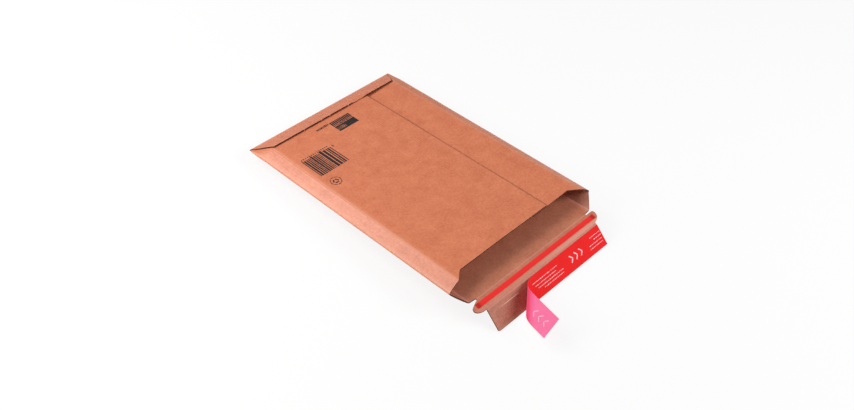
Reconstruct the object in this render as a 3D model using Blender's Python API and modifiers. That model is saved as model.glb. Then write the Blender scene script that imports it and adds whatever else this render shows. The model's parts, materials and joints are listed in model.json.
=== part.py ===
# Rigid corrugated mailing envelope with an open closing flap, a tear tape and a release liner.
# Sizes are in metres. The box is built level, with its hinge crease along X at y = 0, and is then
# tilted so that it rests on its far bottom crease and on the free edge of its flap.
import bpy
import bmesh
import math
import numpy as np
from mathutils import Matrix, Vector

for old in list(bpy.data.objects):
    bpy.data.objects.remove(old, do_unlink=True)

# Board and clearances
BOARD = 0.0017
LAYER_GAP = 0.00035
FILM = 0.0003
FILM_GAP = 0.00025

# Pocket
WIDTH = 0.250
LENGTH = 0.3648
HEIGHT = 0.0247
CREASE_Z = 0.0129
SIDE_RUN = 0.0145
MOUTH_CREASE_Y = 0.019
MOUTH_TOP_Y = 0.0296
MOUTH_TOP_HALF = 0.0973
CORNER_Y = 0.002
SEAM_X = 0.0570
LAP_EDGE_X = 0.0330
FAR_TOP_Z = 0.0177
END_FLAP_Y = 0.3394
END_FLAP_HALF = 0.1064
BOTTOM_HIP_Y = 0.333
HIP_ROUND = 0.004
CREASE_ROUND = 0.002
NOSE_ROUND = 0.0008
FOLD_GAP = 0.0006
PANEL_HALF = 0.095
FAR_PANEL_HALF = 0.112
FAR_CREASE_IN = 0.0028
LAP_SLOPE = 0.005
LAP_SHORT = 0.0042
FLAP_SPREAD = 0.0015

# Closing flap
HINGE_HALF = 0.1005
BAND_DEPTH = 0.01705
BAND_HALF = 0.1132
EAR_RADIUS = 0.0065
BAND_DROOP = math.radians(14.2)
TONGUE_DEPTH = 0.0282
TONGUE_HALF = 0.1007
TONGUE_CORNER = 0.002
TONGUE_DROOP = math.radians(45.2)
TAPE_NEAR = 0.0045
TAPE_WIDTH = 0.0056
TAPE_HALF = 0.1080
GLUE_NEAR = 0.0068
GLUE_WIDTH = 0.0190
GLUE_HALF = 0.0970

# Peeled liner
PEEL_X = -0.0171
PEEL_ANGLE = math.radians(130.8)
PEEL_RADIUS = 0.0198
PEEL_TURN = math.radians(111.6)
LINER_END_X = -0.1100
LINER_NEAR = 0.0008

MID = BOARD / 2
STEP = BOARD + LAYER_GAP
TOP_Z = HEIGHT - MID
LAP_Z = TOP_Z - STEP
FAR_FLAP_Z = FAR_TOP_Z - MID
FAR_UPPER_Z = FAR_FLAP_Z - STEP
FAR_LOWER_Z = FAR_UPPER_Z - STEP
FAR_Y = LENGTH - BOARD - FOLD_GAP
NOSE_X = WIDTH / 2 - MID
NOSE_CUT = MID + LAYER_GAP

part = bpy.data.collections.new("book_mailer_box")
bpy.context.scene.collection.children.link(part)


def material(name, colour, rough, alpha=1.0):
    m = bpy.data.materials.new(name)
    m.use_nodes = True
    shader = m.node_tree.nodes["Principled BSDF"]
    shader.inputs["Base Color"].default_value = (*colour, 1.0)
    shader.inputs["Roughness"].default_value = rough
    shader.inputs["Alpha"].default_value = alpha
    return m


kraft = material("kraft_board", (0.62, 0.24, 0.13), 0.85)
tape_red = material("tape_red", (0.80, 0.04, 0.03), 0.35)
glue_clear = material("clear_adhesive", (0.80, 0.62, 0.45), 0.12, 0.45)
liner_red = material("liner_red", (0.90, 0.05, 0.04), 0.30)


def body(name, points, faces, mat, parent, thickness=0.0):
    mesh = bpy.data.meshes.new(name)
    mesh.from_pydata([tuple(p) for p in points], [], faces)
    b = bmesh.new()
    b.from_mesh(mesh)
    bmesh.ops.remove_doubles(b, verts=b.verts, dist=1e-7)
    bmesh.ops.recalc_face_normals(b, faces=b.faces)
    b.to_mesh(mesh)
    b.free()
    obj = bpy.data.objects.new(name, mesh)
    obj.data.materials.append(mat)
    part.objects.link(obj)
    obj.parent = parent
    if thickness > 0:
        solid = obj.modifiers.new("board", "SOLIDIFY")
        solid.thickness = thickness
        solid.offset = 0.0
        solid.use_even_offset = True
    return obj


def rounded(points, cuts, steps=3):
    out = []
    last = len(points) - 1
    for i, (p, cut) in enumerate(zip(points, cuts)):
        p = np.array(p, float)
        if cut == 0 or i in (0, last):
            out.append(p)
            continue
        a = np.array(points[i - 1], float) - p
        c = np.array(points[i + 1], float) - p
        la = np.linalg.norm(a)
        lc = np.linalg.norm(c)
        start = p + a * min(cut / la, 0.45)
        end = p + c * min(cut / lc, 0.45)
        for k in range(steps + 1):
            u = k / steps
            out.append((1 - u) ** 2 * start + 2 * u * (1 - u) * p + u ** 2 * end)
    return out


def grid_faces(rows, columns, start=0):
    faces = []
    for r in range(rows - 1):
        for c in range(columns - 1):
            a = start + r * columns + c
            faces.append((a, a + 1, a + columns + 1, a + columns))
    return faces


root = bpy.data.objects.new("book_mailer_box_base", None)
part.objects.link(root)

# Pocket: one folded blank, from the seam edge round the bottom to the edge under the lap
def crease_z(y, side):
    far = (FAR_UPPER_Z + FAR_LOWER_Z) / 2
    u = (y - MOUTH_CREASE_Y) / (FAR_Y - MOUTH_CREASE_Y)
    return CREASE_Z + (far - CREASE_Z) * u + side * STEP / 2


side_x = WIDTH / 2 - SIDE_RUN
hip_x = END_FLAP_HALF
far_side = WIDTH / 2 - FAR_CREASE_IN
slope_end = SEAM_X + LAP_SLOPE
share = (side_x - MOUTH_TOP_HALF) / (side_x - slope_end)
drop_in = TOP_Z - STEP * share
lap_far_y = FAR_Y - LAP_SHORT
hip_slope = (FAR_UPPER_Z - TOP_Z) / (FAR_Y - END_FLAP_Y)
lap_far_z = TOP_Z + hip_slope * (lap_far_y - END_FLAP_Y) - STEP
columns = [
    [(SEAM_X, MOUTH_TOP_Y, TOP_Z), (SEAM_X, END_FLAP_Y, TOP_Z), (SEAM_X, FAR_Y, FAR_UPPER_Z)],
    [
        (-MOUTH_TOP_HALF, MOUTH_TOP_Y, TOP_Z),
        (-PANEL_HALF, END_FLAP_Y, TOP_Z),
        (-FAR_PANEL_HALF, FAR_Y, FAR_UPPER_Z)],
    [(-side_x, MOUTH_CREASE_Y, TOP_Z), (-hip_x, END_FLAP_Y, TOP_Z), (-far_side, FAR_Y, FAR_UPPER_Z)],
    [(-NOSE_X, y, crease_z(y, 1)) for y in (MOUTH_CREASE_Y, END_FLAP_Y, FAR_Y)],
    [(-NOSE_X, y, crease_z(y, -1)) for y in (MOUTH_CREASE_Y, BOTTOM_HIP_Y, FAR_Y)],
    [(-side_x, CORNER_Y, MID), (-hip_x, BOTTOM_HIP_Y, MID), (-far_side, FAR_Y, FAR_LOWER_Z)],
    [(-HINGE_HALF, NOSE_CUT, MID), (-PANEL_HALF, BOTTOM_HIP_Y, MID), (-FAR_PANEL_HALF, FAR_Y, FAR_LOWER_Z)],
]
right = [[(-x, y, z) for x, y, z in c] for c in columns[::-1][:5]]
right.append([
    (MOUTH_TOP_HALF, MOUTH_TOP_Y, drop_in),
    (PANEL_HALF, END_FLAP_Y, drop_in),
    (FAR_PANEL_HALF, FAR_Y, FAR_UPPER_Z)])
for x in (slope_end, LAP_EDGE_X):
    right.append([(x, MOUTH_TOP_Y, LAP_Z), (x, END_FLAP_Y, LAP_Z), (x, lap_far_y, lap_far_z)])
columns = columns + right
runs = [rounded(c, (0, HIP_ROUND, 0)) for c in columns]
row_count = len(runs[0])
side_cuts = [CREASE_ROUND, NOSE_ROUND, NOSE_ROUND, CREASE_ROUND]
cuts = [0, 0] + side_cuts + [0, 0] + side_cuts + [0, HIP_ROUND, 0]
points = []
for r in range(row_count):
    section = rounded([run[r] for run in runs], cuts)
    width = len(section)
    points += section
faces = grid_faces(row_count, width)

# End flap: carried on from the bottom's far edge, over the fold and down onto the top
far_row = points[(row_count - 1) * width:]
wing = [i for i, p in enumerate(far_row) if abs(p[2] - FAR_LOWER_Z) < 1e-6 and abs(p[0]) < far_side + 1e-5]
fold_mid_z = (FAR_LOWER_Z + FAR_FLAP_Z) / 2
fold_half_z = (FAR_FLAP_Z - FAR_LOWER_Z) / 2
fold_out = LENGTH - MID - FAR_Y
fold = []
for k in range(1, 7):
    a = math.radians(-90 + 30 * k)
    spread = 1 + math.cos(a) * FLAP_SPREAD / far_side
    fold.append((FAR_Y + fold_out * math.cos(a), fold_mid_z + fold_half_z * math.sin(a), spread))
tip_y = END_FLAP_Y - STEP * hip_slope / math.hypot(1, hip_slope)
tip_z = TOP_Z + STEP / math.hypot(1, hip_slope)
fold.append((tip_y, tip_z, END_FLAP_HALF / far_side))
last_row = [(row_count - 1) * width + i for i in wing]
for y, z, spread in fold:
    base = len(points)
    for i in wing:
        points.append(np.array([far_row[i][0] * spread, y, z]))
    row = list(range(base, base + len(wing)))
    for a, b, c, d in zip(last_row[:-1], last_row[1:], row[1:], row[:-1]):
        faces.append((a, b, c, d))
    last_row = row
pocket = body("pocket", points, faces, kraft, root, BOARD)


def nose():
    return [(-MID * math.cos(a), MID * math.sin(a)) for a in [math.radians(k) for k in (12, 35, 60)]]


def plate(name, stations, mat, parent, place, turn):
    pts = []
    for v, half, thick in stations:
        pts += [(-half, -v, thick), (half, -v, thick), (half, -v, -thick), (-half, -v, -thick)]
    quads = [(0, 1, 2, 3)]
    for s in range(len(stations) - 1):
        for k in range(4):
            a = 4 * s + k
            b = 4 * s + (k + 1) % 4
            quads.append((a, b, b + 4, a + 4))
    n = 4 * (len(stations) - 1)
    quads.append((n, n + 1, n + 2, n + 3))
    obj = body(name, pts, quads, mat, parent)
    obj.location = place
    obj.rotation_euler = (turn, 0, 0)
    return obj


# Flap band with rounded ears
band_end = BAND_DEPTH - NOSE_CUT
stations = [(v, BAND_HALF - MID, h) for v, h in nose()]
stations += [(0, BAND_HALF - MID / 2, MID), (BOARD, BAND_HALF, MID)]
for k in range(0, 7):
    a = math.radians(k * 15)
    stations.append((
        band_end - EAR_RADIUS + EAR_RADIUS * math.sin(a),
        BAND_HALF - EAR_RADIUS + EAR_RADIUS * math.cos(a), MID))
band_pos = Vector((0, 0, MID))
band = plate("flap_band", stations, kraft, root, band_pos, BAND_DROOP)

# Tongue beyond the fold
fold_pos = band_pos + BAND_DEPTH * Vector((0, -math.cos(BAND_DROOP), -math.sin(BAND_DROOP)))
stations = [(v, TONGUE_HALF, h) for v, h in nose()]
stations += [(0, TONGUE_HALF, MID), (TONGUE_DEPTH - TONGUE_CORNER, TONGUE_HALF, MID)]
for k in (1, 2, 3):
    a = math.radians(k * 30)
    depth = TONGUE_DEPTH - TONGUE_CORNER * (1 - math.sin(a))
    stations.append((depth, TONGUE_HALF - TONGUE_CORNER * (1 - math.cos(a)), MID))
tongue = plate("flap_tongue", stations, kraft, root, fold_pos, TONGUE_DROOP)


def strip(name, half, near, deep, height, mat, place, turn):
    mesh = bpy.data.meshes.new(name)
    b = bmesh.new()
    bmesh.ops.create_cube(b, size=1.0)
    b.to_mesh(mesh)
    b.free()
    size = Matrix.Diagonal((2 * half, deep, FILM, 1.0))
    mesh.transform(Matrix.Translation((0, -near - deep / 2, height)) @ size)
    obj = bpy.data.objects.new(name, mesh)
    obj.data.materials.append(mat)
    part.objects.link(obj)
    obj.parent = root
    obj.location = place
    obj.rotation_euler = (turn, 0, 0)
    return obj


def film(name, flat_points, quads, mat):
    obj = body(name, flat_points, quads, mat, root, FILM)
    obj.location = fold_pos
    obj.rotation_euler = (TONGUE_DROOP, 0, 0)
    return obj


# Tear tape along the band, and the adhesive strip on the tongue
film_z = MID + FILM_GAP + FILM / 2
strip("tear_tape", TAPE_HALF, TAPE_NEAR, TAPE_WIDTH, film_z, tape_red, band_pos, BAND_DROOP)
strip("adhesive_strip", GLUE_HALF, GLUE_NEAR, GLUE_WIDTH, film_z, glue_clear, fold_pos, TONGUE_DROOP)

# Release liner: the part still stuck, and the peeled tail that rolls back over it
liner_z = film_z + FILM + FILM_GAP
along = np.array([math.cos(PEEL_ANGLE), math.sin(PEEL_ANGLE)])
away = np.array([-along[1], along[0]])


def peel_x(w):
    return PEEL_X + w * along[0] / along[1]


def rolled(x, w):
    r = np.array([x - PEEL_X, w])
    a = r @ along
    s = r @ away
    if s <= PEEL_RADIUS * PEEL_TURN:
        flat = PEEL_RADIUS * math.sin(s / PEEL_RADIUS)
        lift = PEEL_RADIUS * (1 - math.cos(s / PEEL_RADIUS))
    else:
        rest = s - PEEL_RADIUS * PEEL_TURN
        flat = PEEL_RADIUS * math.sin(PEEL_TURN) + rest * math.cos(PEEL_TURN)
        lift = PEEL_RADIUS * (1 - math.cos(PEEL_TURN)) + rest * math.sin(PEEL_TURN)
    spot = np.array([PEEL_X, 0.0]) + a * along + flat * away
    return (spot[0], -spot[1], liner_z + lift)


tip = TONGUE_DEPTH
stuck = [
    (peel_x(LINER_NEAR), -LINER_NEAR, liner_z), (TONGUE_HALF, -LINER_NEAR, liner_z),
    (TONGUE_HALF, -tip, liner_z), (peel_x(tip), -tip, liner_z)]
film("release_liner", stuck, [(0, 1, 2, 3)], liner_red)
tail = []
for k in range(7):
    w = LINER_NEAR + (tip - LINER_NEAR) * k / 6
    start = peel_x(w) - FILM_GAP
    for j in range(25):
        tail.append(rolled(start + (LINER_END_X - start) * j / 24, w))
film("liner_tail", tail, grid_faces(7, 25), liner_red)

# Rest: tilt about X until the far bottom crease and the flap's free edge share the floor
down = Vector((0, -math.cos(TONGUE_DROOP), -math.sin(TONGUE_DROOP)))
under = Vector((0, math.sin(TONGUE_DROOP), -math.cos(TONGUE_DROOP)))
foot = fold_pos + TONGUE_DEPTH * down + MID * under
tilt = math.atan2(-foot.z, BOTTOM_HIP_Y - HIP_ROUND - foot.y)
root.rotation_euler = (-tilt, 0, 0)
bpy.context.view_layer.update()
graph = bpy.context.evaluated_depsgraph_get()
low = Vector((1e9, 1e9, 1e9))
high = -low
for obj in part.objects:
    if obj.type != "MESH":
        continue
    seen = obj.evaluated_get(graph)
    for v in seen.data.vertices:
        p = seen.matrix_world @ v.co
        low = Vector([min(a, b) for a, b in zip(low, p)])
        high = Vector([max(a, b) for a, b in zip(high, p)])
root.location = (0, -(low.y + high.y) / 2, -low.z)
bpy.context.view_layer.update()
print("tilt", round(math.degrees(tilt), 4), "shift", [round(v, 6) for v in root.location])
print("hinge", [round(v, 6) for v in root.matrix_world @ band_pos])
print("fold", [round(v, 6) for v in root.matrix_world @ fold_pos])
print("size", [round(v, 6) for v in high - low])
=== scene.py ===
import json
import math
import bpy
import bmesh
import numpy as np
from mathutils import Matrix, Vector


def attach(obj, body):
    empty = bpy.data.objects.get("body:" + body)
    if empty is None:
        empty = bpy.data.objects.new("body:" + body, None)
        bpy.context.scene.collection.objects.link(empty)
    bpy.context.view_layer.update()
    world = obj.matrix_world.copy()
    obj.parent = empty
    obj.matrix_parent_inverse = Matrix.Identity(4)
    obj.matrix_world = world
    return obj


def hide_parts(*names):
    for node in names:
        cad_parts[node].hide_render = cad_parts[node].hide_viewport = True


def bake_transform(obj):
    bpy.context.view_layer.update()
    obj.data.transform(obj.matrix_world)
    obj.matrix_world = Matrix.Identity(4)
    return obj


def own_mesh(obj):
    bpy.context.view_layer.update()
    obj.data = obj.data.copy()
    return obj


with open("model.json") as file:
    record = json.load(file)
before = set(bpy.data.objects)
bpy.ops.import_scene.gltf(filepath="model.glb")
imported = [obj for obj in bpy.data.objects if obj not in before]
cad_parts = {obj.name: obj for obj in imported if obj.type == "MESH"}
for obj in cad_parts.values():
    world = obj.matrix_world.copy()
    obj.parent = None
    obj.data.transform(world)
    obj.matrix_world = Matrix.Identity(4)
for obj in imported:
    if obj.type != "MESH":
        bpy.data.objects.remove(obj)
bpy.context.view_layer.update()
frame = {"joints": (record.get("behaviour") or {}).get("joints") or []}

# Level frame
# The mailer is drawn lying level, with its hinge crease along X at y = 0 and the underside of
# its bottom panel at z = 0. It then lies down tilted, on its far bottom crease and its flap.
BOARD = 0.0017
MID = BOARD / 2
TILT = math.radians(3.7549)
hinge_at = Vector(frame["joints"][0]["pos_m"])
lay_down = (
    Matrix.Translation(hinge_at)
    @ Matrix.Rotation(-TILT, 4, "X")
    @ Matrix.Translation((0, 0, -MID)))


# Camera
# Set at the photograph's viewing angle, found from the mailer's corners and creases. Its place
# is in the level frame, in metres, and the lens is for a sensor 36 mm wide.
CAMERA_AT = Vector((-0.7458, -0.4977, 0.8595))
CAMERA_AZIMUTH = math.radians(-48.17)
CAMERA_ELEVATION = math.radians(41.59)
CAMERA_ROLL = math.radians(2.63)
CAMERA_LENS = 44.594
level_right = Vector((math.cos(CAMERA_AZIMUTH), math.sin(CAMERA_AZIMUTH), 0))
camera_back = Vector((
    math.sin(CAMERA_AZIMUTH) * math.cos(CAMERA_ELEVATION),
    -math.cos(CAMERA_AZIMUTH) * math.cos(CAMERA_ELEVATION),
    math.sin(CAMERA_ELEVATION)))
level_up = camera_back.cross(level_right)
camera_right = level_right * math.cos(CAMERA_ROLL) + level_up * math.sin(CAMERA_ROLL)
camera_up = level_up * math.cos(CAMERA_ROLL) - level_right * math.sin(CAMERA_ROLL)
camera_turn = Matrix((camera_right, camera_up, camera_back)).transposed().to_4x4()
camera_data = bpy.data.cameras.new("camera")
camera_data.lens = CAMERA_LENS
camera_data.sensor_width = 36.0
camera_data.clip_start = 0.01
camera = bpy.data.objects.new("camera", camera_data)
camera.matrix_world = lay_down @ Matrix.Translation(CAMERA_AT) @ camera_turn
bpy.context.scene.collection.objects.link(camera)
bpy.context.scene.camera = camera
bpy.context.scene.view_settings.view_transform = "Standard"


# Floor and light
# A plain white sweep under the mailer, with soft boxes behind, on its left and in front, as for
# a catalogue picture. The floor shows white and keeps the mailer's soft shadow.
def link(tree, source, target):
    tree.links.new(source, target)


def area_light(name, at, size, power, colour):
    """A soft box that faces the mailer's middle."""
    data = bpy.data.lights.new(name, "AREA")
    data.shape = "RECTANGLE"
    data.size = size[0]
    data.size_y = size[1]
    data.energy = power
    data.color = colour
    lamp = bpy.data.objects.new(name, data)
    lamp.location = at
    lamp.rotation_euler = (-Vector(at)).to_track_quat("-Z", "Y").to_euler()
    bpy.context.scene.collection.objects.link(lamp)


area_light("key_softbox", (-0.42, 0.87, 1.01), (0.7, 0.7), 9.8, (1.0, 0.98, 0.96))
area_light("left_softbox", (-0.96, 0.36, 0.62), (0.45, 0.45), 6.0, (1.0, 0.98, 0.96))
area_light("front_softbox", (0.70, -1.05, 0.95), (0.8, 0.6), 13.5, (0.99, 0.99, 1.0))

world = bpy.data.worlds.new("studio")
world.use_nodes = True
bpy.context.scene.world = world
world_tree = world.node_tree
world_light = world_tree.nodes["Background"]
world_light.inputs["Color"].default_value = (0.96, 0.98, 1.0, 1.0)
world_light.inputs["Strength"].default_value = 0.22
world_seen = world_tree.nodes.new("ShaderNodeBackground")
world_seen.inputs["Color"].default_value = (1.0, 1.0, 1.0, 1.0)
world_mix = world_tree.nodes.new("ShaderNodeMixShader")
world_ray = world_tree.nodes.new("ShaderNodeLightPath")
link(world_tree, world_ray.outputs["Is Camera Ray"], world_mix.inputs["Fac"])
link(world_tree, world_light.outputs[0], world_mix.inputs[1])
link(world_tree, world_seen.outputs[0], world_mix.inputs[2])
link(world_tree, world_mix.outputs[0], world_tree.nodes["World Output"].inputs["Surface"])

FLOOR_SIZE = 8.0
FLOOR_GLOW = 0.84
floor_mesh = bpy.data.meshes.new("floor")
floor_edit = bmesh.new()
bmesh.ops.create_grid(floor_edit, x_segments=1, y_segments=1, size=FLOOR_SIZE / 2)
floor_edit.to_mesh(floor_mesh)
floor_edit.free()
floor = bpy.data.objects.new("floor", floor_mesh)
floor.location = (0, 0, -0.0002)
bpy.context.scene.collection.objects.link(floor)
floor_paint = bpy.data.materials.new("white_sweep")
floor_paint.use_nodes = True
floor_tree = floor_paint.node_tree
floor_shader = floor_tree.nodes["Principled BSDF"]
floor_shader.inputs["Base Color"].default_value = (0.86, 0.86, 0.86, 1.0)
floor_shader.inputs["Roughness"].default_value = 0.9
floor_shader.inputs["Specular IOR Level"].default_value = 0.0
floor_glow = floor_tree.nodes.new("ShaderNodeEmission")
floor_glow.inputs["Color"].default_value = (1.0, 1.0, 1.0, 1.0)
floor_ray = floor_tree.nodes.new("ShaderNodeLightPath")
floor_share = floor_tree.nodes.new("ShaderNodeMath")
floor_share.operation = "MULTIPLY"
floor_share.inputs[1].default_value = FLOOR_GLOW
floor_mix = floor_tree.nodes.new("ShaderNodeMixShader")
link(floor_tree, floor_ray.outputs["Is Camera Ray"], floor_share.inputs[0])
link(floor_tree, floor_share.outputs[0], floor_mix.inputs["Fac"])
link(floor_tree, floor_shader.outputs[0], floor_mix.inputs[1])
link(floor_tree, floor_glow.outputs[0], floor_mix.inputs[2])
link(floor_tree, floor_mix.outputs[0], floor_tree.nodes["Material Output"].inputs["Surface"])
floor_mesh.materials.append(floor_paint)


# Kraft paper
# The faces of the corrugated board are unbleached kraft: a warm brown sheet, cloudy at a scale
# of centimetres, with long pale and dark fibres and a few flecks of bark. One shader group
# holds the paper, and each face of the board sets its own colours.
def shader_group(name, inputs, outputs):
    group = bpy.data.node_groups.new(name, "ShaderNodeTree")
    for label, kind in inputs:
        group.interface.new_socket(name=label, in_out="INPUT", socket_type=kind)
    for label, kind in outputs:
        group.interface.new_socket(name=label, in_out="OUTPUT", socket_type=kind)
    group_in = group.nodes.new("NodeGroupInput")
    group_out = group.nodes.new("NodeGroupOutput")
    return group, group_in, group_out


def noise(tree, vector, scale, detail, rough=0.55, stretch=(1, 1, 1)):
    spread = tree.nodes.new("ShaderNodeMapping")
    spread.inputs["Scale"].default_value = stretch
    node = tree.nodes.new("ShaderNodeTexNoise")
    node.inputs["Scale"].default_value = scale
    node.inputs["Detail"].default_value = detail
    node.inputs["Roughness"].default_value = rough
    link(tree, vector, spread.inputs["Vector"])
    link(tree, spread.outputs["Vector"], node.inputs["Vector"])
    return node.outputs["Fac"]


def maths(tree, operation, a, b=None, clamp=False):
    node = tree.nodes.new("ShaderNodeMath")
    node.operation = operation
    node.use_clamp = clamp
    for socket, value in zip(node.inputs, (a, b)):
        if value is None:
            continue
        if isinstance(value, (int, float)):
            socket.default_value = value
        else:
            link(tree, value, socket)
    return node.outputs[0]


def spread_range(tree, value, low, high, to_low=0.0, to_high=1.0):
    node = tree.nodes.new("ShaderNodeMapRange")
    node.inputs["From Min"].default_value = low
    node.inputs["From Max"].default_value = high
    node.inputs["To Min"].default_value = to_low
    node.inputs["To Max"].default_value = to_high
    link(tree, value, node.inputs["Value"])
    return node.outputs["Result"]


def mix_colour(tree, share, a, b):
    node = tree.nodes.new("ShaderNodeMix")
    node.data_type = "RGBA"
    link(tree, share, node.inputs["Factor"])
    for label, value in (("A", a), ("B", b)):
        socket = [s for s in node.inputs if s.name == label and s.type == "RGBA"][0]
        if isinstance(value, tuple):
            socket.default_value = (*value, 1.0)
        else:
            link(tree, value, socket)
    return [s for s in node.outputs if s.type == "RGBA"][0]


kraft_group, kraft_in, kraft_out = shader_group(
    "kraft_paper",
    [("Vector", "NodeSocketVector"), ("Pale", "NodeSocketColor"), ("Deep", "NodeSocketColor"),
     ("Fleck", "NodeSocketColor")],
    [("Color", "NodeSocketColor"), ("Height", "NodeSocketFloat")])
paper_at = kraft_in.outputs["Vector"]
clouds = noise(kraft_group, paper_at, 60.0, 3.0)
mottle = noise(kraft_group, paper_at, 330.0, 4.0, 0.62)
fibres = noise(kraft_group, paper_at, 1500.0, 3.0, 0.6, (0.16, 1, 1))
fine = maths(
    kraft_group, "ADD", maths(kraft_group, "MULTIPLY", mottle, 0.42),
    maths(kraft_group, "MULTIPLY", fibres, 0.28))
tone = maths(kraft_group, "ADD", maths(kraft_group, "MULTIPLY", clouds, 0.30), fine)
tone = spread_range(kraft_group, tone, 0.36, 0.64)
fleck_at = noise(kraft_group, paper_at, 900.0, 1.0, stretch=(0.5, 1, 1))
fleck = spread_range(kraft_group, fleck_at, 0.71, 0.80, 0.0, 0.75)
paper = mix_colour(kraft_group, tone, kraft_in.outputs["Deep"], kraft_in.outputs["Pale"])
paper = mix_colour(kraft_group, fleck, paper, kraft_in.outputs["Fleck"])
link(kraft_group, paper, kraft_out.inputs["Color"])
link(kraft_group, maths(kraft_group, "ADD", mottle, fibres), kraft_out.inputs["Height"])

FLUTE_PITCH = 0.0033
WEAR_AND_SHEEN_SHARE = 0.55


def kraft_paint(name, pale, deep, fleck_colour, pale_for_wear_and_sheen, rough, washboard, grain):
    """Paper for one face of the board: washboard is how far the flutes show through it."""
    paint = bpy.data.materials.new(name)
    paint.use_nodes = True
    tree = paint.node_tree
    shader = tree.nodes["Principled BSDF"]
    shader.inputs["Specular IOR Level"].default_value = 0.7
    place = tree.nodes.new("ShaderNodeTexCoord")
    sheet = tree.nodes.new("ShaderNodeGroup")
    sheet.node_tree = kraft_group
    sheet.inputs["Pale"].default_value = (*pale, 1.0)
    sheet.inputs["Deep"].default_value = (*deep, 1.0)
    sheet.inputs["Fleck"].default_value = (*fleck_colour, 1.0)
    link(tree, place.outputs["Object"], sheet.inputs["Vector"])
    # The crease mark paints the sheet paler: wear at creases, and on the band a painted sheen.
    crease = tree.nodes.new("ShaderNodeAttribute")
    crease.attribute_name = "crease"
    wear_and_sheen = maths(tree, "MULTIPLY", crease.outputs["Fac"], WEAR_AND_SHEEN_SHARE)
    colour = mix_colour(tree, wear_and_sheen, sheet.outputs["Color"], pale_for_wear_and_sheen)
    link(tree, colour, shader.inputs["Base Color"])
    rough_here = spread_range(tree, sheet.outputs["Height"], 0.6, 1.4, rough + 0.06, rough - 0.06)
    link(tree, rough_here, shader.inputs["Roughness"])
    split = tree.nodes.new("ShaderNodeSeparateXYZ")
    link(tree, place.outputs["UV"], split.inputs[0])
    turns = maths(tree, "MULTIPLY", split.outputs["X"], 2 * math.pi / FLUTE_PITCH)
    wave = maths(tree, "SINE", turns)
    fibre_height = maths(tree, "MULTIPLY", sheet.outputs["Height"], grain)
    height = maths(tree, "ADD", maths(tree, "MULTIPLY", wave, washboard), fibre_height)
    bump = tree.nodes.new("ShaderNodeBump")
    bump.inputs["Distance"].default_value = 0.001
    bump.inputs["Strength"].default_value = 1.0
    link(tree, height, bump.inputs["Height"])
    link(tree, bump.outputs["Normal"], shader.inputs["Normal"])
    return paint


def seam_shadow_line(paint, at, width, colour):
    """Darkens a line of the sheet beside the lap's edge: a painted shadow of the step down at the seam.
    """
    tree = paint.node_tree
    shader = tree.nodes["Principled BSDF"]
    plain = shader.inputs["Base Color"].links[0].from_socket
    place = tree.nodes.new("ShaderNodeTexCoord")
    split = tree.nodes.new("ShaderNodeSeparateXYZ")
    link(tree, place.outputs["UV"], split.inputs[0])
    off = maths(tree, "ABSOLUTE", maths(tree, "SUBTRACT", split.outputs["X"], at))
    shadow_mottle = noise(tree, place.outputs["Object"], 260.0, 2.0)
    line = spread_range(tree, off, width * 0.55, width * 0.35, 0.0, 1.0)
    share = maths(tree, "MULTIPLY", line, spread_range(tree, shadow_mottle, 0.35, 0.65, 0.28, 0.50))
    link(tree, mix_colour(tree, share, plain, colour), shader.inputs["Base Color"])


kraft_outside = kraft_paint(
    "kraft_outside", (0.73, 0.238, 0.118), (0.55, 0.144, 0.062), (0.30, 0.085, 0.04),
    (0.76, 0.32, 0.19), 0.42, 0.030, 0.036)
kraft_inside = kraft_paint(
    "kraft_inside", (0.58, 0.205, 0.113), (0.42, 0.125, 0.064), (0.26, 0.08, 0.04),
    (0.88, 0.38, 0.30), 0.60, 0.040, 0.055)
# The cut edges are painted far darker than the paper itself: painted shade of the holes between the
# flutes.
cut_edge_shade_paint = kraft_paint(
    "cut_edge_painted_shade", (0.21, 0.064, 0.034), (0.11, 0.034, 0.018), (0.05, 0.016, 0.01),
    (0.21, 0.064, 0.034), 0.9, 0.0, 0.12)
# Near black for the board's middle, seen behind its cut edges: painted shade inside the flutes.
hollow_painted_shade = kraft_paint(
    "hollow_painted_shade", (0.040, 0.014, 0.009), (0.020, 0.007, 0.005), (0.01, 0.004, 0.003),
    (0.040, 0.014, 0.009), 0.95, 0.0, 0.12)


# Pocket
# One blank of fluted board, scored and folded: bottom panel, sloping side facets, a wide top
# panel lapped and glued over a narrow one, and an end flap carried up from the bottom's far
# edge and glued down over the top. Its flutes run along Y, so they show as holes at the mouth.
WIDTH = 0.250
LENGTH = 0.3648
HEIGHT = 0.0247
LAYER_GAP = 0.00035
CREASE_Z = 0.0129
SIDE_X = 0.1105
MOUTH_CREASE_Y = 0.019
MOUTH_TOP_Y = 0.0296
MOUTH_TOP_HALF = 0.0973
CORNER_Y = 0.002
SEAM_X = 0.0570
SLOPE_X = 0.0620
LAP_EDGE_X = 0.0330
FAR_TOP_Z = 0.0177
END_FLAP_Y = 0.3394
END_FLAP_HALF = 0.1064
BOTTOM_HIP_Y = 0.333
HINGE_HALF = 0.1005
PANEL_HALF = 0.095
FAR_PANEL_HALF = 0.112
FAR_SIDE = 0.1222
FAR_Y = LENGTH - BOARD - 0.0006
LAP_FAR_Y = FAR_Y - 0.0042
STEP = BOARD + LAYER_GAP
TOP_Z = HEIGHT - MID
LAP_Z = TOP_Z - STEP
FAR_FLAP_Z = FAR_TOP_Z - MID
FAR_UPPER_Z = FAR_FLAP_Z - STEP
FAR_LOWER_Z = FAR_UPPER_Z - STEP
NOSE_X = WIDTH / 2 - MID
NOSE_CUT = MID + LAYER_GAP
NOSE_RISE = 0.0038
NOSE_IN = 0.0012
NOSE_FAR_Z = 0.0152
RIGHT_MOUTH_OUT = 0.0035
RIGHT_MOUTH_UP = 0.0020
LINER = 0.00026
ROW_SPACING = 0.008
COLUMN_SPACING = 0.005


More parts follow.
